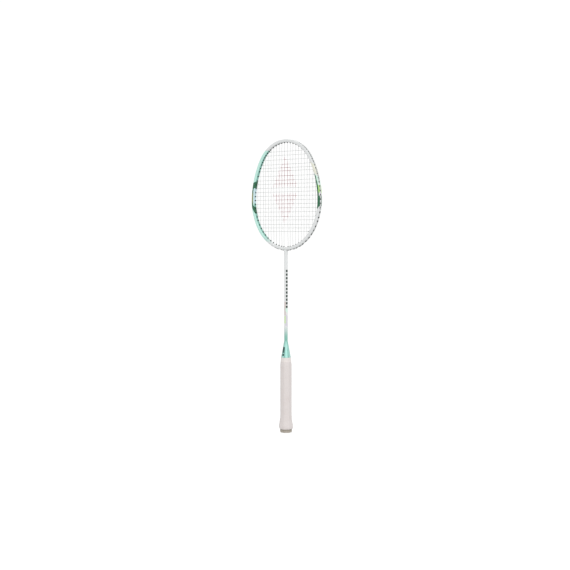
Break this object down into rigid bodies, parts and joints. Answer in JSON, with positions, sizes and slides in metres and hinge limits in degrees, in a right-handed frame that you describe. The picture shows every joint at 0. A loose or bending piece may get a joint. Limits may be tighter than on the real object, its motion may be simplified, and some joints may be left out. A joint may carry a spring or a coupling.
{
  "type": "badminton racket",
  "caption": "Strung badminton racket with an oval mint and white head, a slim white shaft, a faceted mint cone and a pale wrapped octagonal grip.",
  "frame": {"origin": "centre of the butt cap's flat end face", "axes": "+Z along the shaft to the head's tip, +X across the head, Y normal to the string bed with the front at -Y"},
  "size_m": [0.2006, 0.0304, 0.675],
  "materials": {
    "frame_lacquer": "high-gloss lacquer over carbon fibre, white fading to mint",
    "joint_alloy": "as cast",
    "shaft_lacquer": "high-gloss lacquer over carbon fibre, white fading to mint",
    "plug_foam": "closed-cell foam",
    "handle_wood": "raw, sanded",
    "cone_lacquer": "pearl mint lacquer",
    "cap_plastic": "moulded, fine texture",
    "badge_plastic": "plain printed disc under clear resin",
    "staple_steel": "bare wire",
    "grip_wrap": "smooth matte polyurethane, slightly tacky",
    "finishing_tape": "matte vinyl",
    "grommet_nylon": "moulded nylon",
    "string_nylon": "coated multifilament nylon"
  },
  "bodies": {
    "root": {"frame_hoop": "frame_lacquer", "t_joint": "joint_alloy", "shaft": "shaft_lacquer", "shaft_plug": "plug_foam", "handle_core": "handle_wood", "cone_cap": "cone_lacquer", "butt_cap": "cap_plastic", "butt_badge": "badge_plastic", "grip_staples": "staple_steel", "grip_wrap": "grip_wrap", "finishing_tape": "finishing_tape", "crown_grommets": "grommet_nylon", "left_grommets": "grommet_nylon", "right_grommets": "grommet_nylon", "throat_grommets": "grommet_nylon", "main_string": "string_nylon", "cross_string": "string_nylon", "string_knots": "string_nylon"}
  },
  "joints": []
}
